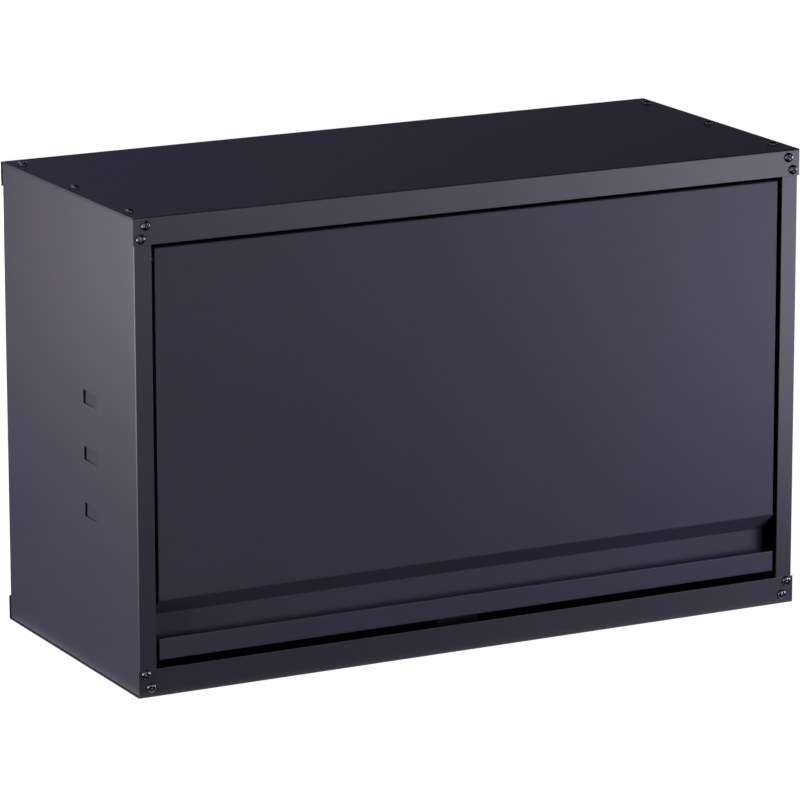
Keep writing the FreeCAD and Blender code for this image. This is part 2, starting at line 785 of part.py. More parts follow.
keep(group("front_corner_screws", carcass_screw, [(x, front, z) + FACE_FRONT for x, z in corner_spots]))
keep(group("rear_corner_screws", carcass_screw, [(x, back, z) + FACE_BACK for x, z in corner_spots]))
keep(group("top_screws", carcass_screw, [(x, y, ceiling) + FACE_UP for x, y in end_spots]))
keep(group("bottom_screws", carcass_screw, [(x, y, floor) + FACE_DOWN for x, y in end_spots]))
keep(group("corner_nuts", carcass_nut,
           [(x, front + 2 * steel, z) + FACE_FRONT for x, z in corner_spots]
           + [(x, back - 2 * steel, z) + FACE_BACK for x, z in corner_spots]))
keep(group("end_nuts", carcass_nut,
           [(x, y, ceiling - 2 * steel) + FACE_UP for x, y in end_spots]
           + [(x, y, floor + 2 * steel) + FACE_DOWN for x, y in end_spots]))


# Rivets: a low head, a shank through two sheets and a flared tail

rivet = turned("rivet", [
    (0, size("rivet_rise")),
    (size("rivet_head") * 0.7, size("rivet_rise")),
    (size("rivet_head"), size("rivet_rise") * 0.4),
    (size("rivet_head"), 0),
    (size("rivet_radius"), 0),
    (size("rivet_radius"), -2 * steel),
    (size("rivet_tail"), -2 * steel),
    (size("rivet_tail"), -2 * steel - size("rivet_rise")),
    (0, -2 * steel - size("rivet_rise")),
])
keep(group("back_rivets", rivet, [(x, rear_face, z) + FACE_BACK for x, z in back_rivet_spots]))


# The door's skin: one sheet with side and top folds, and a finger recess folded into its foot

pull_top = door_bottom + size("pull_height")
pull_corner = pull_top - size("pull_drop")
lip_top = door_bottom + size("lip_height")
recess_wall = door_rear - steel
# The recess's top wall slants, so the far side of its sheet meets its neighbours a little higher.
slant_run = size("pull_depth")
slant_drop = size("pull_drop")
slant_length = as_size(math.hypot(slant_run.number, slant_drop.number))
slant_shift = steel * (slant_length - slant_drop) / slant_run
liner_bottom = pull_corner - size("liner_lap")
liner_top = door_top - size("liner_gap")
liner_half = door_half - size("liner_gap")

side_rivet_x = door_half - size("skin_lip") / 2
rivet_low = pull_top + size("door_rivet_edge")
rivet_high = door_top - size("door_rivet_edge")
door_rivet_spots = []
for side in (-1, 1):
    for step in range(4):
        door_rivet_spots.append((side * side_rivet_x, rivet_low + (rivet_high - rivet_low) * step / 3))
top_rivet_z = door_top - size("skin_lip") / 2
for step in range(4):
    door_rivet_spots.append(((step - 1.5) * (door_half * 0.5), top_rivet_z))


def door_skin():
    body = new_body("door_skin")
    lip_edge = door_half - size("skin_lip")
    plan = [
        (-door_half, door_face),
        (door_half, door_face),
        (door_half, door_rear),
        (lip_edge, door_rear),
        (lip_edge, recess_wall),
        (door_half - steel, recess_wall),
        (door_half - steel, door_face + steel),
        (-door_half + steel, door_face + steel),
        (-door_half + steel, recess_wall),
        (-lip_edge, recess_wall),
        (-lip_edge, door_rear),
        (-door_half, door_rear),
    ]
    pad(body, "skin_sides", "XY_Plane", plan, pull_top + relief, door_top)
    top_fold = [
        (door_face, pull_top + relief),
        (door_face, door_top),
        (door_rear, door_top),
        (door_rear, door_top - size("skin_lip")),
        (recess_wall, door_top - size("skin_lip")),
        (recess_wall, door_top - steel),
        (door_face + steel, door_top - steel),
        (door_face + steel, pull_top + relief),
    ]
    pad(body, "skin_top", "YZ_Plane", top_fold, -door_half, door_half)
    corners = [(door_half, door_face), (-door_half, door_face), (door_half, door_rear),
               (-door_half, door_rear)]
    round_edges(body, "skin_corner_bends", outer_bend, "z", corners,
                "x", [(door_face, door_top), (door_rear, door_top)])
    foot_fold = [
        (door_face, pull_top + relief),
        (door_face, pull_top),
        (recess_wall, pull_corner),
        (recess_wall, door_bottom + steel),
        (door_face + steel, door_bottom + steel),
        (door_face + steel, lip_top - size("hem_height")),
        (door_face + size("hem_thickness"), lip_top - size("hem_height")),
        (door_face + size("hem_thickness"), lip_top),
        (door_face, lip_top),
        (door_face, door_bottom),
        (door_rear, door_bottom),
        (door_rear, pull_corner + slant_shift),
        (door_face + steel, pull_top + slant_shift),
        (door_face + steel, pull_top + relief),
    ]
    pad(body, "skin_foot", "YZ_Plane", foot_fold, -door_half, door_half)
    round_edges(body, "skin_foot_bends", outer_bend, "x",
                [(door_face, door_bottom), (door_rear, door_bottom), (door_face, pull_top)])
    round_edges(body, "skin_foot_insides", bend_radius, "x",
                [(recess_wall, pull_corner), (recess_wall, door_bottom + steel),
                 (door_face + steel, door_bottom + steel)])
    round_edges(body, "skin_hem", size("hem_thickness") * 0.45, "x",
                [(door_face, lip_top), (door_face + size("hem_thickness"), lip_top)])
    pocket(body, "skin_pivot_holes", "YZ_Plane", -door_half - tiny, door_half + tiny,
           circles=[(pivot_y, pivot_z)], radius=size("thread_radius") + size("fixed_play"))
    pocket(body, "skin_rivet_holes", "XZ_Plane", recess_wall - tiny, door_rear + tiny,
           circles=door_rivet_spots, radius=size("rivet_radius") + size("fixed_play"))
    return keep(body)


door_skin()

foot_screw_x = strut_x - size("bracket_stand") - size("door_foot") + size("foot_screw_in")
foot_screw_spots = [(side * foot_screw_x, lower_ball + step * size("foot_screw_half"))
                    for side in (-1, 1) for step in (-1, 1)]


def door_liner():
    body = new_body("door_liner")
    outline = [(-liner_half, liner_bottom), (liner_half, liner_bottom),
               (liner_half, liner_top), (-liner_half, liner_top)]
    pad(body, "liner_sheet", "XZ_Plane", outline, door_rear, liner_rear)
    pocket(body, "liner_rivet_holes", "XZ_Plane", door_rear - tiny, liner_rear + tiny,
           circles=door_rivet_spots, radius=size("rivet_radius") + size("fixed_play"))
    pocket(body, "liner_screw_holes", "XZ_Plane", door_rear - tiny, liner_rear + tiny,
           circles=foot_screw_spots, radius=size("screw_hole"))
    return keep(body)


door_liner()
keep(group("door_rivets", rivet, [(x, liner_rear, z) + FACE_BACK for x, z in door_rivet_spots]))


def door_channel(name):
    """A hat section that holds the skin and the liner apart."""
    body = new_body(name)
    middle = -size("channel_centre")
    web = size("channel_web") / 2
    wide = web + size("channel_flange")
    inner_face = door_face + steel
    plan = [
        (middle - wide, door_rear),
        (middle - wide, door_rear - steel),
        (middle - web, door_rear - steel),
        (middle - web, inner_face),
        (middle + web, inner_face),
        (middle + web, door_rear - steel),
        (middle + wide, door_rear - steel),
        (middle + wide, door_rear),
        (middle + web - steel, door_rear),
        (middle + web - steel, inner_face + steel),
        (middle - web + steel, inner_face + steel),
        (middle - web + steel, door_rear),
    ]
    pad(body, name + "_fold", "XY_Plane", plan, pull_top + size("channel_end_gap"),
        door_top - size("skin_lip") - size("channel_end_gap"))
    return keep(body)


keep(mirrored("door_channel_right", door_channel("door_channel_left")))


# Door pivots: a shoulder screw in the door's edge turns in a nylon bush in a bracket behind the stile

plate_inner = door_half - steel - size("plate_steel")
nut_inner = plate_inner - size("pivot_nut_height")
bush_bore = size("shoulder_radius") + size("running_play")
bush_radius = bush_bore + size("bush_wall")
bush_seat = bush_radius + size("fixed_play")
bush_start = opening_half
frame_plate_in = bush_start + size("bush_flange")
frame_plate_out = frame_plate_in + size("plate_steel")
bush_end = frame_plate_out + size("bush_tail")
pivot_head = bush_end + size("panel_gap")


def frame_pivot_bracket(name):
    body = new_body(name)
    near = stile_face + steel
    far = near + size("frame_plate_depth")
    foot = frame_plate_in + size("frame_plate_foot")
    plan = [
        (-foot, near),
        (-frame_plate_in, near),
        (-frame_plate_in, far),
        (-frame_plate_out, far),
        (-frame_plate_out, near + size("plate_steel")),
        (-foot, near + size("plate_steel")),
    ]
    pad(body, name + "_fold", "XY_Plane", plan, pivot_z - size("frame_plate_half"),
        pivot_z + size("frame_plate_half"))
    pocket(body, name + "_hole", "YZ_Plane", -frame_plate_out - tiny, -frame_plate_in + tiny,
           circles=[(pivot_y, pivot_z)], radius=bush_seat)
    return keep(body)


keep(mirrored("frame_pivot_bracket_right", frame_pivot_bracket("frame_pivot_bracket_left")))

bush = turned("bush", [
    (bush_bore, bush_start),
    (size("bush_flange_radius"), bush_start),
    (size("bush_flange_radius"), frame_plate_in),
    (bush_radius, frame_plate_in),
    (bush_radius, bush_end),
    (bush_bore, bush_end),
])
pivot_screw = turned("pivot_screw", [
    (0, nut_inner),
    (size("thread_radius"), nut_inner),
    (size("thread_radius"), door_half),
    (size("shoulder_radius"), door_half),
    (size("shoulder_radius"), pivot_head),
    (size("pivot_head_radius"), pivot_head),
    (size("pivot_head_radius"), pivot_head + size("pivot_head_height")),
    (0, pivot_head + size("pivot_head_height")),
])
key = [(size("hex_key") * math.cos(math.radians(60 * i)), size("hex_key") * math.sin(math.radians(60 * i)))
       for i in range(6)]
pocket(pivot_screw, "pivot_key", "XY_Plane", pivot_head + size("pivot_head_height") * 0.4,
       pivot_head + size("pivot_head_height"), outlines=[key])


def pivot_nut_body():
    body = new_body("pivot_nut")
    corner = size("pivot_nut_flat") / math.cos(math.radians(30))
    hexagon = [(corner * math.cos(math.radians(60 * i)), corner * math.sin(math.radians(60 * i)))
               for i in range(6)]
    pad(body, "pivot_nut_pad", "XY_Plane", hexagon, nut_inner, plate_inner)
    pocket(body, "pivot_nut_bore", "XY_Plane", nut_inner - tiny, plate_inner + tiny,
           circles=[(0, 0)], radius=size("thread_radius") + size("nut_play"))
    return body


pivot_nut = pivot_nut_body()
right_pivot = (as_size(0), pivot_y, pivot_z) + FACE_RIGHT
left_pivot = (as_size(0), pivot_y, pivot_z) + FACE_LEFT
for word, pivot in (("left", left_pivot), ("right", right_pivot)):
    keep(group("pivot_bush_" + word, bush, [pivot]))
    keep(group("pivot_screw_" + word, pivot_screw, [pivot]))
keep(group("pivot_nuts", pivot_nut, [left_pivot, right_pivot]))


def door_pivot_plate(name):
    body = new_body(name)
    margin = size("door_plate_margin")
    near = door_face + steel + margin
    far = recess_wall - margin
    outline = [(near, pivot_z - size("door_plate_down")), (far, pivot_z - size("door_plate_down")),
               (far, pivot_z + size("door_plate_up")), (near, pivot_z + size("door_plate_up"))]
    pad(body, name + "_plate", "YZ_Plane", outline, -door_half + steel, -plate_inner)
    pocket(body, name + "_hole", "YZ_Plane", -door_half + steel - tiny, -plate_inner + tiny,
           circles=[(pivot_y, pivot_z)], radius=size("thread_radius") + size("fixed_play"))
    return keep(body)


keep(mirrored("door_pivot_plate_right", door_pivot_plate("door_pivot_plate_left")))


# Gas struts, drawn on the right: cylinder above, rod below, both on one upright line

socket_end = upper_ball - size("socket_reach")
rod_socket_end = lower_ball + size("socket_reach")
cylinder_low = rod_socket_end + size("rod_show")
cylinder_bore = size("cylinder_radius") - size("cylinder_wall")


def strut_cylinder(name):
    neck = size("rod_radius")
    gland = size("rod_radius") + size("running_play")
    body = turned(name, [
        (gland, cylinder_low),
        (size("cylinder_radius"), cylinder_low),
        (size("cylinder_radius"), socket_end),
        (neck, socket_end),
        (neck, socket_end + size("socket_thread")),
        (0, socket_end + size("socket_thread")),
        (0, socket_end - size("cylinder_cap")),
        (cylinder_bore, socket_end - size("cylinder_cap")),
        (cylinder_bore, cylinder_low + size("gland_length")),
        (gland, cylinder_low + size("gland_length")),
    ])
    place(body, strut_x, strut_y, as_size(0))
    return body


def strut_rod(name):
    piston = cylinder_bore - size("piston_play")
    piston_top = socket_end - size("cylinder_cap") - size("piston_stop")
    body = turned(name, [
        (0, rod_socket_end - size("socket_thread")),
        (size("rod_radius"), rod_socket_end - size("socket_thread")),
        (size("rod_radius"), piston_top - size("piston_length")),
        (piston, piston_top - size("piston_length")),
        (piston, piston_top),
        (0, piston_top),
    ])
    place(body, strut_x, strut_y, as_size(0))
    return body


def strut_socket(name, ball, direction, mouth):
    """A moulded socket on a ball; direction points along the strut, mouth tells whether it opens."""
    body = new_body(name)
    half = size("socket_width") / 2
    pad_round(body, name + "_head", "YZ_Plane", (strut_y, ball), size("socket_radius"),
              strut_x - half, strut_x + half)
    near = ball if direction > 0 else ball - size("socket_reach")
    far = ball + size("socket_reach") if direction > 0 else ball
    pad_round(body, name + "_neck", "XY_Plane", (strut_x, strut_y), size("socket_neck"), near, far)
    tip = ball + direction * size("socket_reach")
    inner = tip - direction * size("socket_thread")
    low, high = (inner, tip) if direction > 0 else (tip, inner)
    pocket(body, name + "_bore", "XY_Plane", low, high,
           circles=[(strut_x, strut_y)], radius=size("rod_radius") + size("nut_play"))
    if mouth:
        pocket(body, name + "_mouth", "YZ_Plane", strut_x, strut_x + half + tiny,
               circles=[(strut_y, ball)], radius=size("neck_radius") + size("neck_play"))
        hollow = body.newObject("PartDesign::SubtractiveSphere", name + "_hollow")
        bind(hollow, "Radius", size("ball_radius") + size("running_play"))
        hollow.AttachmentSupport = (origin_feature(body, "XY_Plane"), [""])
        hollow.MapMode = "FlatFace"
        # The ball's seam is turned away from the mouth.
        hollow.AttachmentOffset = Placement(Vector(0, 0, 0), Rotation(Vector(0, 0, 1), 180))
        for axis, value in zip("xyz", (strut_x, strut_y, ball)):
            bind(hollow, ".AttachmentOffset.Base." + axis, value)
    return body


def pad_round(body, name, plane, centre, radius, low, high):
    start = low if NORMAL_SIGN[plane] > 0 else high
    sketch = new_sketch(body, name + "_sketch", plane, as_size(start))
    draw_circles(sketch, [centre], radius)
    feature = body.newObject("PartDesign::Pad", name)
    feature.Profile = sketch
    bind(feature, "Length", high - low)
    return feature


for name, piece in (
    ("strut_cylinder", strut_cylinder("strut_cylinder_right")),
    ("strut_rod", strut_rod("strut_rod_right")),
    ("strut_upper_socket", strut_socket("strut_upper_socket_right", upper_ball, -1, True)),
    ("strut_lower_socket", strut_socket("strut_lower_socket_right", lower_ball, 1, False)),
):
    keep(piece)
    keep(mirrored(name + "_left", piece))

# Upper brackets stand off the side panels, lower ones off the door's liner

stand_in = strut_x + size("bracket_stand")
stand_out = stand_in + size("plate_steel")
ear_out = strut_x - size("bracket_stand")
ear_in = ear_out - size("plate_steel")
stud_seat = size("neck_radius") + size("fixed_play")


def upper_bracket(name):
    body = new_body(name)
    near = strut_y - size("bracket_front")
    web = strut_y + size("bracket_back")
    far = web + size("plate_steel")
    foot = far + size("bracket_foot")
    plan = [
        (stand_in, near),
        (stand_out, near),
        (stand_out, web),
        (side_in, web),
        (side_in, foot),
        (side_in - size("plate_steel"), foot),
        (side_in - size("plate_steel"), far),
        (stand_in, far),
    ]
    pad(body, name + "_fold", "XY_Plane", plan, upper_ball - size("bracket_half"),
        upper_ball + size("bracket_half"))
    pocket(body, name + "_hole", "YZ_Plane", stand_in - tiny, stand_out + tiny,
           circles=[(strut_y, upper_ball)], radius=stud_seat)
    return keep(body)


def lower_bracket(name):
    body = new_body(name)
    foot_end = ear_out - size("door_foot")
    plan = [
        (foot_end, liner_rear),
        (ear_out, liner_rear),
        (ear_out, strut_y + size("door_ear")),
        (ear_in, strut_y + size("door_ear")),
        (ear_in, liner_rear + size("plate_steel")),
        (foot_end, liner_rear + size("plate_steel")),
    ]
    pad(body, name + "_fold", "XY_Plane", plan, lower_ball - size("bracket_half"),
        lower_ball + size("bracket_half"))
    pocket(body, name + "_hole", "YZ_Plane", ear_in - tiny, ear_out + tiny,
           circles=[(strut_y, lower_ball)], radius=stud_seat)
    pocket(body, name + "_screw_holes", "XZ_Plane", liner_rear - tiny,
           liner_rear + size("plate_steel") + tiny,
           circles=[spot for spot in foot_screw_spots if spot[0].number > 0], radius=size("screw_hole"))
    return keep(body)


keep(mirrored("strut_upper_bracket_left", upper_bracket("strut_upper_bracket_right")))
keep(mirrored("strut_lower_bracket_left", lower_bracket("strut_lower_bracket_right")))

# Studs lie along X. The upper one ends in its ball; the lower one stops just short of its socket.
upper_neck = turned("upper_stud_neck", [
    (0, 0),
    (size("neck_radius"), 0),
    (size("neck_radius"), size("bracket_stand") - size("collar_height")),
    (size("collar_radius"), size("bracket_stand") - size("collar_height")),
    (size("collar_radius"), size("bracket_stand")),
    (size("neck_radius"), size("bracket_stand")),
    (size("neck_radius"), size("bracket_stand") + size("plate_steel")),
    (size("collar_radius") * 0.85, size("bracket_stand") + size("plate_steel")),
    (size("collar_radius") * 0.85, size("bracket_stand") + size("plate_steel") + size("stud_rivet")),
    (0, size("bracket_stand") + size("plate_steel") + size("stud_rivet")),
])
upper_ball_solid = doc.addObject("Part::Sphere", "upper_stud_ball")
bind(upper_ball_solid, "Radius", size("ball_radius"))
upper_stud = doc.addObject("Part::Fuse", "upper_stud")
upper_stud.Base = upper_neck
upper_stud.Tool = upper_ball_solid
stud_tip = size("socket_width") / 2 + size("open_pivot_gap")
lower_stud = turned("lower_stud", [
    (0, stud_tip),
    (size("neck_radius"), stud_tip),
    (size("neck_radius"), size("bracket_stand") - size("collar_height")),
    (size("collar_radius"), size("bracket_stand") - size("collar_height")),
    (size("collar_radius"), size("bracket_stand")),
    (size("neck_radius"), size("bracket_stand")),
    (size("neck_radius"), size("bracket_stand") + size("plate_steel")),
    (size("collar_radius") * 0.85, size("bracket_stand") + size("plate_steel")),
    (size("collar_radius") * 0.85, size("bracket_stand") + size("plate_steel") + size("stud_rivet")),
    (0, size("bracket_stand") + size("plate_steel") + size("stud_rivet")),
])
keep(group("strut_upper_studs", upper_stud,
           [(strut_x, strut_y, upper_ball) + FACE_RIGHT, (-strut_x, strut_y, upper_ball) + FACE_LEFT]))
keep(group("strut_lower_studs", lower_stud,
           [(strut_x, strut_y, lower_ball) + FACE_LEFT, (-strut_x, strut_y, lower_ball) + FACE_RIGHT]))
bracket_outer = liner_rear + size("plate_steel")
keep(group("strut_foot_screws", carcass_screw,
           [(x, bracket_outer, z) + FACE_BACK for x, z in foot_screw_spots]))
keep(group("strut_foot_nuts", carcass_nut,
           [(x, door_rear, z) + FACE_BACK for x, z in foot_screw_spots]))


# Door stops on the stiles, with rubber buffers

stop_face = liner_rear + size("rest_gap") + size("buffer_length")
buffer_x = opening_half - size("buffer_in")
stop_low = floor + size("stop_low")
stop_middle = stop_low + size("stop_height") / 2


def door_stop(name):
    body = new_body(name)
    inner = -(opening_half + size("stop_offset"))
    outer = inner - size("stop_steel")
    near = stile_face + steel
    foot = inner - size("stop_foot")
    end = -(opening_half - size("stop_reach"))
    plan = [
        (foot, near),
        (inner, near),
        (inner, stop_face),
        (end, stop_face),
        (end, stop_face + size("stop_steel")),
        (outer, stop_face + size("stop_steel")),
        (outer, near + size("stop_steel")),
        (foot, near + size("stop_steel")),
    ]
    pad(body, name + "_fold", "XY_Plane", plan, stop_low, stop_low + size("stop_height"))
    pocket(body, name + "_hole", "XZ_Plane", stop_face - tiny, stop_face + size("stop_steel") + tiny,
           circles=[(-buffer_x, stop_middle)], radius=size("buffer_stem") + size("fixed_play"))
    return keep(body)


keep(mirrored("door_stop_right", door_stop("door_stop_left")))
buffer = turned("buffer", [
    (0, size("buffer_length")),
    (size("buffer_radius") * 0.8, size("buffer_length")),
    (size("buffer_radius"), size("buffer_length") * 0.75),
    (size("buffer_radius"), 0),
    (size("buffer_stem"), 0),
    (size("buffer_stem"), -size("stop_steel")),
    (size("buffer_stem") * 1.5, -size("stop_steel")),
    (size("buffer_stem"), -size("stop_steel") * 2.5),
    (0, -size("stop_steel") * 2.5),
])
keep(group("door_buffers", buffer,
           [(side * buffer_x, stop_face, stop_middle) + FACE_FRONT for side in (-1, 1)]))


# Magnetic catch behind the foot of the door

pole_face = door_rear + size("rest_gap")
catch_face = pole_face + size("pole_rise")
catch_rear = catch_face + size("catch_depth")
catch_bottom = floor + size("catch_low")
catch_top = catch_bottom + size("catch_height")
catch_middle = (catch_bottom + catch_top) / 2
magnet_low = catch_middle - size("magnet_height") / 2
magnet_high = catch_middle + size("magnet_height") / 2
pole_low = magnet_low - size("pole_steel")
pole_high = magnet_high + size("pole_steel")
magnet_rear = catch_rear - 2 * size("pole_steel")


def box_outline(x_half, low, high):
    return [(-x_half, low), (x_half, low), (x_half, high), (-x_half, high)]


def catch_housing():
    body = new_body("catch_housing")
    pad(body, "housing_block", "XZ_Plane", box_outline(size("catch_half"), catch_bottom, catch_top),
        catch_face, catch_rear)
    pocket(body, "housing_slot", "XZ_Plane", catch_face, magnet_rear,
           outlines=[box_outline(size("magnet_half"), pole_low, pole_high)])
    pocket(body, "housing_screw_holes", "XZ_Plane", catch_rear - size("small_length"), catch_rear,
           circles=[(-size("catch_screw"), catch_middle), (size("catch_screw"), catch_middle)],
           radius=size("small_shank") + size("fixed_play"))
    return keep(body)


def catch_piece(name, low, high, face):
    body = new_body(name)
    pad(body, name + "_block", "XZ_Plane", box_outline(size("magnet_half"), low, high), face, magnet_rear)
    return body


def catch_bracket():
    body = new_body("catch_bracket")
    foot_low = floor + steel
    section = [
        (catch_rear, foot_low),
        (catch_rear + size("catch_foot"), foot_low),
        (catch_rear + size("catch_foot"), foot_low + size("catch_steel")),
        (catch_rear + size("catch_steel"), foot_low + size("catch_steel")),
        (catch_rear + size("catch_steel"), catch_top),
        (catch_rear, catch_top),
    ]
    pad(body, "catch_fold", "YZ_Plane", section, -size("catch_half"), size("catch_half"))
    pocket(body, "catch_screw_holes", "XZ_Plane", catch_rear - tiny,
           catch_rear + size("catch_steel") + tiny,
           circles=[(-size("catch_screw"), catch_middle), (size("catch_screw"), catch_middle)],
           radius=size("small_shank") + size("fixed_play"))
    return keep(body)


catch_housing()
keep(catch_piece("catch_magnet", magnet_low, magnet_high, catch_face))
pole_lower = catch_piece("pole_lower", pole_low, magnet_low, pole_face)
pole_upper = catch_piece("pole_upper", magnet_high, pole_high, pole_face)
catch_poles = doc.addObject("Part::Compound", "catch_poles")
catch_poles.Label = "catch_poles"
catch_poles.Links = [pole_lower, pole_upper]
keep(catch_poles)
catch_bracket()
small_screw = pan_screw("small_screw", size("small_head"), size("small_rise"), size("small_shank"),
                        size("small_length") + size("catch_steel") - size("bend_radius"),
                        size("recess_width") * 0.7, size("recess_span") * 0.7)
keep(group("catch_screws", small_screw,
           [(side * size("catch_screw"), catch_rear + size("catch_steel"), catch_middle) + FACE_BACK
            for side in (-1, 1)]))

# Check every object, then write one file for each sub-part

doc.recompute()
failed = [thing.Name for thing in doc.Objects if "Invalid" in thing.State or "Error" in thing.State]
for piece in parts:
    if piece.Shape.isNull() or not piece.Shape.isValid() or not piece.Shape.Solids:
        failed.append(piece.Label)
if failed:
    raise RuntimeError("failed: " + ", ".join(failed))

os.makedirs("parts", exist_ok=True)
for piece in parts:
    piece.Shape.exportStep("parts/%s.step" % piece.Label)
print("%d sub-parts" % len(parts))
print("strut: pivot y %.3f z %.3f, balls y %.3f, z %.3f and %.3f, x %.3f" % (
    pivot_y.number, pivot_z.number, strut_y.number, upper_ball.number, lower_ball.number, strut_x.number))
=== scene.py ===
import json
import math

import bmesh
import bpy
from mathutils import Matrix, Vector


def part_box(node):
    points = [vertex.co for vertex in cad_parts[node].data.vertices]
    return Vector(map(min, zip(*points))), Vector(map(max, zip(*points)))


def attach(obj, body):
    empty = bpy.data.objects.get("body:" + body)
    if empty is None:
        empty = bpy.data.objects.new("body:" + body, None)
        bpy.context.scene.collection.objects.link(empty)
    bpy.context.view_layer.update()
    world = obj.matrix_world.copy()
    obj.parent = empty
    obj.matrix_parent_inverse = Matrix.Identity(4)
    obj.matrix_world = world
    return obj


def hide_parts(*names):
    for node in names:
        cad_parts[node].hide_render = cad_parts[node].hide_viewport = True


# A charcoal steel wall cabinet with an up-flip door, shut, on a white studio floor.
# The sheet metal is the frame's own. This script adds its finishes, detailed screws, nuts and
# rivets, the light and the camera. The scene is in metres; small parts are made in millimetres.

MM = 0.001

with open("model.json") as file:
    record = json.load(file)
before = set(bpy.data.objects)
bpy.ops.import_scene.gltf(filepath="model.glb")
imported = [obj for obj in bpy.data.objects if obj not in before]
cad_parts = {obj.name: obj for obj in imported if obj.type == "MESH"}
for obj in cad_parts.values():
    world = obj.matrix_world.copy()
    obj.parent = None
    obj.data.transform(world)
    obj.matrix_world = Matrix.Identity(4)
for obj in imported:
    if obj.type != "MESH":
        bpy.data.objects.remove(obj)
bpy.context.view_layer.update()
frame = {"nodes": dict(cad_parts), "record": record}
nodes = frame["nodes"]


# Finishes

def linear(hex_colour):
    """An sRGB hex colour as linear red, green, blue and alpha."""
    channels = [int(hex_colour[i:i + 2], 16) / 255 for i in (1, 3, 5)]
    return [c / 12.92 if c <= 0.04045 else ((c + 0.055) / 1.055) ** 2.4 for c in channels] + [1.0]


def add_node(tree, kind, settings=None, **inputs):
    """Add a node; an input is a value, or the output socket that feeds it."""
    node = tree.nodes.new(kind)
    for name, value in (settings or {}).items():
        setattr(node, name, value)
    for name, value in inputs.items():
        socket = node.inputs[name.replace("_", " ")]
        if isinstance(value, bpy.types.NodeSocket):
            tree.links.new(value, socket)
        else:
            socket.default_value = value
    return node


def new_finish(name, **inputs):
    """A material with these constants on its shader, and the object's coordinates in metres."""
    material = bpy.data.materials.new(name)
    material.use_nodes = True
    tree = material.node_tree
    shader = tree.nodes["Principled BSDF"]
    for socket, value in inputs.items():
        shader.inputs[socket.replace("_", " ")].default_value = value
    place = add_node(tree, "ShaderNodeTexCoord").outputs["Object"]
    return material, tree, shader, place


def noise(tree, place, cell_mm, detail):
    """Noise with cells this many millimetres wide."""
    texture = add_node(tree, "ShaderNodeTexNoise", Vector=place, Scale=1 / MM / cell_mm, Detail=detail)
    return texture.outputs["Fac"]


def vary_colour(tree, shader, pattern, first, second):
    """Let the base colour drift between two near tones."""
    mix = add_node(tree, "ShaderNodeMix", {"data_type": "RGBA"})
    factor, one, other = mix.inputs[0], mix.inputs[6], mix.inputs[7]
    tree.links.new(pattern, factor)
    one.default_value = linear(first)
    other.default_value = linear(second)
    tree.links.new(mix.outputs[2], shader.inputs["Base Color"])


def vary_roughness(tree, shader, pattern, low, high):
    gloss = add_node(tree, "ShaderNodeMapRange", Value=pattern, To_Min=low, To_Max=high)
    tree.links.new(gloss.outputs["Result"], shader.inputs["Roughness"])


def raise_grain(tree, shader, pattern, strength, depth_mm):
    bump = add_node(tree, "ShaderNodeBump", Height=pattern, Strength=strength, Distance=depth_mm * MM)
    tree.links.new(bump.outputs["Normal"], shader.inputs["Normal"])


def powder_coat(name, thin, thick, gleam):
    """Polyester powder coat, sprayed on and baked: even colour, satin gloss, shallow orange peel."""
    material, tree, shader, place = new_finish(name, IOR=1.5, Specular_IOR_Level=gleam)
    # The film's thickness drifts over a hand's width, which moves its colour a little.
    vary_colour(tree, shader, noise(tree, place, 90, 2.0), thin, thick)
    # Cured powder melts into a fine pebble about half a millimetre wide.
    pebble = noise(tree, place, 0.6, 1.0)
    vary_roughness(tree, shader, pebble, 0.36, 0.44)
    # Orange peel: waves about 3 mm long, with a little of the pebble on them.
    height = add_node(tree, "ShaderNodeMath", {"operation": "MULTIPLY_ADD"})
    tree.links.new(pebble, height.inputs[0])
    height.inputs[1].default_value = 0.12
    tree.links.new(noise(tree, place, 3, 1.5), height.inputs[2])
    raise_grain(tree, shader, height.outputs[0], 0.25, 0.02)
    return material


def enamelled_tube():
    """Hard black enamel on the strut's tube: near black, with sharp highlights."""
    material, tree, shader, place = new_finish("black_enamelled_tube", IOR=1.52,
                                               Base_Color=linear("#101012"))
    vary_roughness(tree, shader, noise(tree, place, 2.5, 2.0), 0.176, 0.264)
    return material


def zinc_plated(name, first, second, cloud_mm, detail, smooth, rough):
    """Zinc plate on steel, bright or passivated black: faintly clouded metal."""
    material, tree, shader, place = new_finish(name, Metallic=1.0)
    cloud = noise(tree, place, cloud_mm, detail)
    vary_colour(tree, shader, cloud, first, second)
    vary_roughness(tree, shader, cloud, smooth, rough)
    return material


def dip_coat():
    """Black electro-dipped steel brackets: thin even film, satin."""
    material, tree, shader, place = new_finish("black_dip_coat", Base_Color=linear("#0f0f11"),
                                               Specular_IOR_Level=0.3)
    grain = noise(tree, place, 0.8, 2.0)
    vary_roughness(tree, shader, grain, 0.42, 0.55)
    raise_grain(tree, shader, grain, 0.2, 0.02)
    return material


def ground_metal(name, colour, stretch, line_mm, detail, smooth, rough):
    """Metal with the fine lines that grinding leaves, drawn out along the axes of small stretch."""
    material, tree, shader, place = new_finish(name, Metallic=1.0, Base_Color=linear(colour))
    drawn_out = add_node(tree, "ShaderNodeMapping", Vector=place, Scale=stretch)
    lines = noise(tree, drawn_out.outputs["Vector"], line_mm, detail)
    vary_roughness(tree, shader, lines, smooth, rough)
    return material


def moulded(name, colour, roughness, grain_mm, depth_mm):
    """Injection-moulded plastic or rubber with the fine spark grain of its mould."""
    material, tree, shader, place = new_finish(name, Base_Color=linear(colour))
    grain = noise(tree, place, grain_mm, 2.0)
    vary_roughness(tree, shader, grain, roughness - 0.05, roughness + 0.05)
    raise_grain(tree, shader, grain, 0.4, depth_mm)
    return material


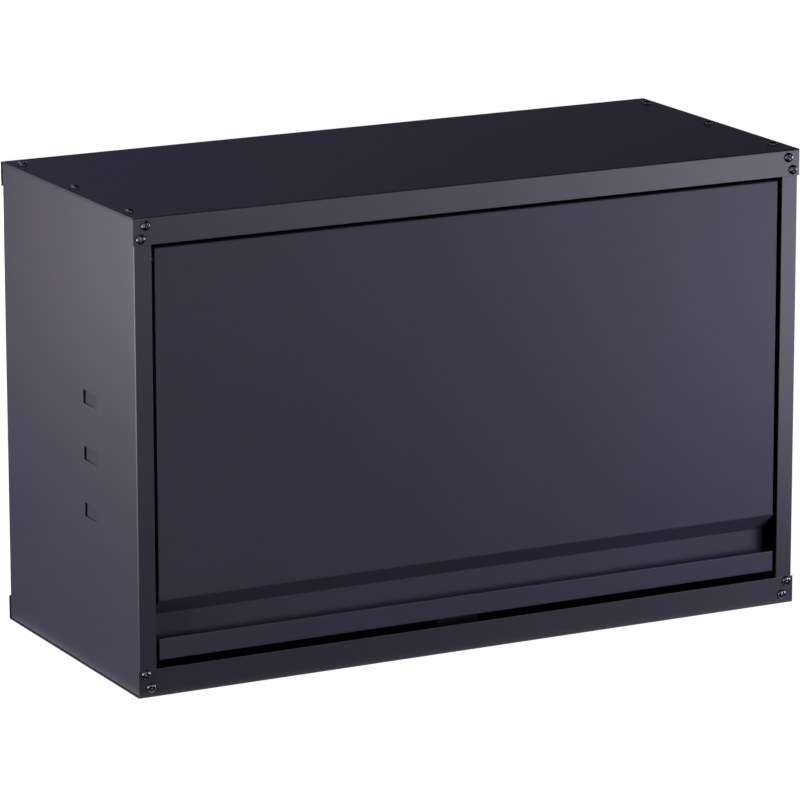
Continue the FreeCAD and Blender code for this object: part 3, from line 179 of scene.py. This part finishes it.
finishes = {
    "powder_coat": powder_coat("charcoal_powder_coat", "#33303e", "#373442", 0.5),
    # The door takes a copy of the carcass's charcoal powder coat, painted lighter and given less
    # gleam: painted light that stands in for how the light falls on the door, not a second paint.
    "door_coat": powder_coat("charcoal_powder_coat_painted_lighter_for_door", "#4e4b5b", "#524f5f", 0.18),
    "screw_black": zinc_plated("black_zinc_plate", "#57575f", "#63636b", 1.5, 2.0, 0.2, 0.28),
    "zinc": zinc_plated("bright_zinc_plate", "#a9adb4", "#c3c6cb", 4, 3.0, 0.26, 0.42),
    "bracket_steel": dip_coat(),
    "strut_black": enamelled_tube(),
    "rod_chrome": ground_metal("hard_chrome", "#dcdde0", (0.02, 0.02, 1), 0.5, 2.0, 0.06, 0.16),
    "socket_plastic": moulded("glass_filled_nylon", "#1b1b1d", 0.5, 0.5, 0.03),
    "bush_nylon": moulded("black_nylon", "#18181a", 0.42, 0.8, 0.02),
    "buffer_rubber": moulded("moulded_rubber", "#19191a", 0.75, 0.4, 0.03),
    "catch_plastic": moulded("black_abs", "#18181a", 0.45, 0.4, 0.02),
    "magnet_ferrite": moulded("sintered_ferrite", "#3b3836", 0.6, 0.3, 0.03),
    "pole_steel": ground_metal("ground_steel", "#9b9da1", (0.03, 1, 1), 0.3, 3.0, 0.25, 0.5),
}
slot_of = {part["node"]: part["material_slot"] for part in frame["record"]["subparts"]}
body_of = {name: body for body, names in frame["record"]["behaviour"]["bodies"].items()
           for name in names}
for name, node in nodes.items():
    node.data.materials.clear()
    node.data.materials.append(finishes[slot_of[name]])


# Screws, nuts and rivets: one mesh for each node, made in millimetres on its own axis

FACE_FRONT = Matrix.Rotation(math.radians(90), 4, "X")
FACE_BACK = Matrix.Rotation(math.radians(-90), 4, "X")
FACE_UP = Matrix.Identity(4)
FACE_DOWN = Matrix.Rotation(math.radians(180), 4, "X")
FIRST_TURN = 0.35  # radians that the first of a group is screwed round
SHARP_EDGE = math.radians(38)


def turned(profile, steps, sink=None):
    """Turn a (radius, height) profile about Z; sink lowers points of the top, as a recess does."""
    mesh = bmesh.new()
    rings = []
    for radius, height in profile:
        ring = []
        for step in range(steps if radius else 1):
            angle = 2 * math.pi * step / steps
            x, y = radius * math.cos(angle), radius * math.sin(angle)
            drop = sink(x, y, height) if sink else 0
            ring.append(mesh.verts.new((x, y, height - drop)))
        rings.append(ring)
    for inner, outer in zip(rings, rings[1:]):
        for step in range(steps):
            following = (step + 1) % steps
            corners = [inner[0]] if len(inner) == 1 else [inner[following], inner[step]]
            corners += [outer[0]] if len(outer) == 1 else [outer[step], outer[following]]
            mesh.faces.new(corners)
    return mesh


def set_in_place(name, source, places, turn_each=0.0):
    """Copies of one small part at (spot, facing) places, instead of the node of that name."""
    whole = bmesh.new()
    copy = bpy.data.meshes.new(name + "_one")
    for number, (spot, facing) in enumerate(places):
        source.to_mesh(copy)
        twist = Matrix.Rotation(turn_each * number + FIRST_TURN, 4, "Z")
        copy.transform(Matrix.Scale(MM, 4) @ Matrix.Translation(spot) @ facing @ twist)
        whole.from_mesh(copy)
    bpy.data.meshes.remove(copy)
    bmesh.ops.recalc_face_normals(whole, faces=whole.faces)
    data = bpy.data.meshes.new(name + "_detail")
    whole.to_mesh(data)
    whole.free()
    data.shade_smooth()
    data.set_sharp_from_angle(angle=SHARP_EDGE)
    piece = bpy.data.objects.new(name + "_detail", data)
    bpy.context.scene.collection.objects.link(piece)
    data.materials.append(finishes[slot_of[name]])
    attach(piece, body_of[name])
    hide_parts(name)


def within(value):
    """A value held between 0 and 1."""
    return min(1, max(0, value))


def cross_recess(width, span, depth, top):
    """How far a driver's cross lowers a point of a head: two arms, half as deep at their ends."""
    lowest = top - 1.2  # the rim of the head and the shank are below this
    slack, wall_slope, end_slope = 0.1, 0.2, 0.25  # the arms' edges lean by this much

    def sink(x, y, height):
        if height < lowest:
            return 0
        along, across = max(abs(x), abs(y)), min(abs(x), abs(y))
        wall = within((width / 2 + slack - across) / wall_slope)
        end = within((span / 2 + slack - along) / end_slope)
        middle = within((span / 2 - along) / (span / 2))
        return depth * wall * end * (0.5 + 0.5 * middle)
    return sink


def pan_profile(radius, rise, shank, length, pitch):
    """A crowned pan head over a threaded shank."""
    crown_steps = 24
    rim_share = 0.14  # of the rise: the straight rim under the crown
    thread_depth = 0.35
    profile = [(0, rise)]
    for step in range(1, crown_steps + 1):
        out = step / crown_steps
        crown = (1 - out ** 2.2) ** (1 / 1.9)
        profile.append((radius * out, rise * (rim_share + (1 - rim_share) * crown)))
    profile += [(radius * 0.985, rise * 0.04), (radius * 0.95, 0), (shank, 0)]
    level = -pitch
    while level > -length + pitch:
        profile += [(shank, level), (shank - thread_depth, level - pitch / 2)]
        level -= pitch
    profile += [(shank - 0.4, -length), (0, -length)]
    return profile


def clinch_nut_profile(bore, radius, height):
    """A round clinch nut: chamfered rims, a groove round its middle, an open bore."""
    groove = radius * 0.93
    return [(bore, -height), (bore, 0), (radius * 0.9, 0), (radius, -0.35), (radius, -height * 0.45),
            (groove, -height * 0.5), (groove, -height * 0.6), (radius, -height * 0.65),
            (radius, -height + 0.4), (radius - 0.4, -height), (bore, -height)]


def rivet_profile(radius, head, rise, grip, tail):
    """A blind rivet: domed head with the broken stem in its middle, and a bulged tail."""
    dome_steps = 8
    rim_share = 0.16
    stem = radius * 0.5
    profile = [(0, rise * 0.55), (radius * 0.42, rise * 0.5), (stem, rise * 0.95)]
    for step in range(1, dome_steps + 1):
        share = step / dome_steps
        dome = math.sqrt(max(0, 1 - share ** 2.2))
        profile.append((stem + (head - stem) * share, rise * (rim_share + (1 - rim_share) * dome)))
    profile += [(head, 0), (radius, 0), (radius, -grip), (tail * 0.9, -grip - 0.1),
                (tail, -grip - rise * 0.5), (tail * 0.7, -grip - rise), (0, -grip - rise)]
    return profile


def box_mm(name):
    """A node's lowest and highest corner, in millimetres."""
    return [[round(value / MM, 3) for value in corner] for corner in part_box(name)]


def both_sides(spots):
    return [(side * x, z) for x, z in spots for side in (-1, 1)]


def evenly(first, last, count):
    return [first + (last - first) * step / (count - 1) for step in range(count)]


SHEET = 1.0  # steel of the carcass and the door
BRACKET = 2.0  # steel of the strut brackets
CATCH_BRACKET = 1.5
NUT_HEIGHT = 3.5
OUTER_SCREW_IN, INNER_SCREW_IN = 12.4, 7.4  # corner screws, from the cabinet's end
OUTER_SCREW_DOWN, INNER_SCREW_DOWN = 7.5, 19.9  # from the top panel's face
OUTER_SCREW_UP, INNER_SCREW_UP = 9.5, 22.8  # from the bottom panel's face
END_SCREW_IN, END_SCREW_FRONT, END_SCREW_BACK = 11, 33, 27  # from the end, the front and the back
FOOT_SCREW_IN, FOOT_SCREW_HALF = 11, 7  # from the foot's end, and from its middle height
CATCH_SCREW = 17  # from the middle
BACK_RIVET_IN, BACK_RIVET_EDGE = 10, 62  # from the cabinet's end, and from top or bottom
DOOR_RIVET_IN, DOOR_RIVET_EDGE, PULL_HEIGHT = 6, 52, 58

(_, front, _), (half_width, back, top) = box_mm("top_panel")
bottom = box_mm("bottom_panel")[0][2]
side_back = box_mm("side_panel_right")[1][1]
(_, _, door_bottom), (half_door, _, door_top) = box_mm("door_skin")
liner_back = box_mm("door_liner")[1][1]
(foot_left, _, foot_bottom), (_, _, foot_top) = box_mm("strut_lower_bracket_right")
(_, _, catch_bottom), (_, catch_back, catch_top) = box_mm("catch_housing")
foot_middle = (foot_bottom + foot_top) / 2
end_screw_rows = (front + END_SCREW_FRONT,
                  (front + END_SCREW_FRONT + back - END_SCREW_BACK) / 2,
                  back - END_SCREW_BACK)

corner_spots = both_sides([(half_width - OUTER_SCREW_IN, top - OUTER_SCREW_DOWN),
                           (half_width - INNER_SCREW_IN, top - INNER_SCREW_DOWN),
                           (half_width - OUTER_SCREW_IN, bottom + OUTER_SCREW_UP),
                           (half_width - INNER_SCREW_IN, bottom + INNER_SCREW_UP)])
end_spots = both_sides([(half_width - END_SCREW_IN, row) for row in end_screw_rows])
foot_spots = both_sides([(foot_left + FOOT_SCREW_IN, foot_middle - FOOT_SCREW_HALF),
                         (foot_left + FOOT_SCREW_IN, foot_middle + FOOT_SCREW_HALF)])

pan = turned(pan_profile(4.75, 3, 2.45, 8, 0.8), 96, cross_recess(1.4, 5.6, 2.2, 3))
set_in_place("front_corner_screws", pan, [((x, front, z), FACE_FRONT) for x, z in corner_spots], 0.5)
set_in_place("rear_corner_screws", pan, [((x, back, z), FACE_BACK) for x, z in corner_spots], 0.7)
set_in_place("top_screws", pan, [((x, y, top), FACE_UP) for x, y in end_spots], 0.6)
set_in_place("bottom_screws", pan, [((x, y, bottom), FACE_DOWN) for x, y in end_spots], 0.4)
set_in_place("strut_foot_screws", pan,
             [((x, liner_back + BRACKET, z), FACE_BACK) for x, z in foot_spots], 0.6)
small_pan = turned(pan_profile(3.2, 2, 1.5, 10, 0.6), 60, cross_recess(0.8, 3.5, 1.2, 2))
catch_middle = (catch_bottom + catch_top) / 2
set_in_place("catch_screws", small_pan,
             [((x, catch_back + CATCH_BRACKET, catch_middle), FACE_BACK)
              for x in (-CATCH_SCREW, CATCH_SCREW)], 0.8)

# The carcass nuts lie behind two sheets, those of the door behind one.
nut = turned(clinch_nut_profile(2.5, 4.4, NUT_HEIGHT), 60)
nut_depth = 2 * SHEET + NUT_HEIGHT
set_in_place("corner_nuts", nut, [((x, front + nut_depth, z), FACE_BACK) for x, z in corner_spots]
             + [((x, back - nut_depth, z), FACE_FRONT) for x, z in corner_spots])
set_in_place("end_nuts", nut, [((x, y, top - nut_depth), FACE_DOWN) for x, y in end_spots]
             + [((x, y, bottom + nut_depth), FACE_UP) for x, y in end_spots])
set_in_place("strut_foot_nuts", nut,
             [((x, liner_back - SHEET - NUT_HEIGHT, z), FACE_FRONT) for x, z in foot_spots])

rivet = turned(rivet_profile(2, 3.6, 1, 2, 3), 32)
back_rivet_spots = both_sides([(half_width - BACK_RIVET_IN, z)
                               for z in evenly(bottom + BACK_RIVET_EDGE, top - BACK_RIVET_EDGE, 4)])
set_in_place("back_rivets", rivet, [((x, side_back, z), FACE_BACK) for x, z in back_rivet_spots])
lowest_door_rivet = door_bottom + PULL_HEIGHT + DOOR_RIVET_EDGE
door_rivet_spots = both_sides([(half_door - DOOR_RIVET_IN, z)
                               for z in evenly(lowest_door_rivet, door_top - DOOR_RIVET_EDGE, 4)]
                              + [(half_door * share, door_top - DOOR_RIVET_IN)
                                 for share in (0.75, 0.25)])
set_in_place("door_rivets", rivet, [((x, liner_back, z), FACE_BACK) for x, z in door_rivet_spots])


# Floor and light

NEUTRAL, COOL, SLIGHTLY_COOL, BLUISH = "#fbfaff", "#ece8ff", "#f4f2ff", "#e0daff"


def new_stage_tree(block):
    """The empty node tree of a material or world."""
    block.use_nodes = True
    block.node_tree.nodes.clear()
    return block.node_tree


def seen_or_mirrored(tree):
    """1 on rays from the camera, from a mirroring surface or through glass, and 0 on others."""
    path = add_node(tree, "ShaderNodeLightPath")
    seen = path.outputs["Is Camera Ray"]
    for kind in ("Is Glossy Ray", "Is Transmission Ray"):
        either = add_node(tree, "ShaderNodeMath", {"operation": "MAXIMUM"})
        tree.links.new(seen, either.inputs[0])
        tree.links.new(path.outputs[kind], either.inputs[1])
        seen = either.outputs[0]
    return seen


def white_paper():
    """White paper that keeps the cabinet's shadow: most of it glows, the rest is lit."""
    material = bpy.data.materials.new("white_paper")
    tree = new_stage_tree(material)
    strength = add_node(tree, "ShaderNodeMath", {"operation": "MULTIPLY"})
    tree.links.new(seen_or_mirrored(tree), strength.inputs[0])
    strength.inputs[1].default_value = 0.96
    glow = add_node(tree, "ShaderNodeEmission", Strength=strength.outputs[0])
    paper = add_node(tree, "ShaderNodeBsdfDiffuse", Color=linear("#b8b8b8"))
    both = add_node(tree, "ShaderNodeAddShader")
    tree.links.new(glow.outputs[0], both.inputs[0])
    tree.links.new(paper.outputs[0], both.inputs[1])
    add_node(tree, "ShaderNodeOutputMaterial", Surface=both.outputs[0])
    return material


def black_velvet():
    material = bpy.data.materials.new("black_velvet")
    tree = new_stage_tree(material)
    cloth = add_node(tree, "ShaderNodeBsdfDiffuse", Color=linear("#0a0a0a"))
    add_node(tree, "ShaderNodeOutputMaterial", Surface=cloth.outputs[0])
    return material


def studio_world(fill):
    """White where it is seen or mirrored, and a plain even fill on everything."""
    world = bpy.data.worlds.new("studio")
    bpy.context.scene.world = world
    tree = new_stage_tree(world)
    level = add_node(tree, "ShaderNodeMapRange", Value=seen_or_mirrored(tree), To_Min=fill, To_Max=1.0)
    sky = add_node(tree, "ShaderNodeBackground", Color=linear("#ffffff"),
                   Strength=level.outputs["Result"])
    add_node(tree, "ShaderNodeOutputWorld", Surface=sky.outputs[0])


def stage_sheet(name, corners, material, seen=True):
    """A sheet of the stage; one that isn't seen throws no shadow, but is still mirrored."""
    mesh = bpy.data.meshes.new(name)
    mesh.from_pydata(corners, [], [(0, 1, 2, 3)])
    sheet = bpy.data.objects.new(name, mesh)
    bpy.context.scene.collection.objects.link(sheet)
    mesh.materials.append(material)
    sheet.visible_camera = seen
    sheet.visible_shadow = seen


def level_corners(x0, y0, x1, y1, z):
    return [(x0, y0, z), (x1, y0, z), (x1, y1, z), (x0, y1, z)]


def upright_corners(x0, y0, x1, y1, low, high):
    return [(x0, y0, low), (x1, y1, low), (x1, y1, high), (x0, y0, high)]


def soft_light(name, place, target, width, height, power, colour):
    """A rectangular lamp of so many metres and watts, turned towards its target."""
    lamp = bpy.data.lights.new(name, "AREA")
    lamp.shape = "RECTANGLE"
    lamp.size = width
    lamp.size_y = height
    lamp.energy = power
    lamp.color = linear(colour)[:3]
    lamp.spread = math.pi
    holder = bpy.data.objects.new(name, lamp)
    holder.location = place
    holder.rotation_euler = (Vector(target) - Vector(place)).to_track_quat("-Z", "Y").to_euler()
    holder.visible_camera = False
    bpy.context.scene.collection.objects.link(holder)


def camera():
    """The photograph's viewpoint: 27 degrees round to the left and 14 degrees up, from 5.2 m away."""
    eye = Vector((-2.31827, -4.47433, 1.45343))
    target = Vector((-0.00279, 0, 0.21670))
    roll = -0.0016
    lens = bpy.data.cameras.new("photo_view")
    lens.sensor_width = 36
    lens.lens = 239.1
    lens.clip_end = 100
    holder = bpy.data.objects.new("photo_view", lens)
    look = (target - eye).to_track_quat("-Z", "Y").to_matrix().to_4x4()
    holder.matrix_world = Matrix.Translation(eye) @ look @ Matrix.Rotation(roll, 4, "Z")
    bpy.context.scene.collection.objects.link(holder)
    bpy.context.scene.camera = holder


stage_sheet("floor", level_corners(-30, -30, 30, 30, 0), white_paper())
# Black flags over and round the cabinet are mirrored in its top and sides and keep them dark.
velvet = black_velvet()
FLAG_TOP, FLAG_FOOT, ON_FLOOR = 1.3, 0.5, 0.002
for name, corners in (
    ("flag_over", level_corners(-1.6, -1.6, 2.2, 2.2, FLAG_TOP)),
    ("flag_behind", upright_corners(-0.5, 2.2, 2.2, 2.2, FLAG_FOOT, FLAG_TOP)),
    ("flag_right", upright_corners(2.2, -1.6, 2.2, 2.2, FLAG_FOOT, FLAG_TOP)),
    ("flag_left", upright_corners(-2.2, 0.4, -0.5, 2.2, 0.0, FLAG_TOP)),
    ("flag_on_floor_left", level_corners(-2.4, -0.6, -0.36, 2.8, ON_FLOOR)),
    ("flag_on_floor_front", level_corners(-0.6, -2.6, 2.4, -0.16, ON_FLOOR)),
    ("flag_on_floor_right", level_corners(0.36, -0.16, 1.8, 1.6, ON_FLOOR)),
    ("flag_on_floor_back", level_corners(-0.36, 0.16, 0.36, 1.6, ON_FLOOR)),
):
    stage_sheet(name, corners, velvet, seen=False)

studio_world(0.096)
for name, place, target, width, height, power, colour in (
    ("left_softbox", (-1.3, 0.6, 0.24), (-0.35, 0.0, 0.24), 1.0, 0.36, 5.8, NEUTRAL),
    ("left_front_softbox", (-1.25, -0.12, 0.17), (-0.35, 0.0, 0.15), 0.95, 0.34, 10.5, NEUTRAL),
    ("front_softbox", (1.3, -2.3, 0.3), (0.3, -0.15, 0.3), 0.9, 0.5, 10.8, COOL),
    ("right_front_softbox", (0.75, -0.75, 0.2), (0.33, -0.15, 0.2), 0.3, 0.4, 2.1, COOL),
    ("right_softbox", (2.1, -0.4, 0.24), (0.3, -0.15, 0.24), 0.9, 0.4, 14, SLIGHTLY_COOL),
    ("back_softbox", (0.5, 2.3, 0.25), (0.0, 0.15, 0.25), 0.9, 0.4, 14, NEUTRAL),
    ("rear_strip", (0.9, 1.9, 0.8), (0.0, 0.0, 0.46), 1.6, 0.5, 0.5, BLUISH),
    ("overhead_softbox", (-0.5, 0.1, 1.2), (-0.15, 0.0, 0.46), 1.2, 0.8, 4.4, BLUISH),
):
    soft_light(name, place, target, width, height, power, colour)
camera()
bpy.context.scene.view_settings.view_transform = "Standard"
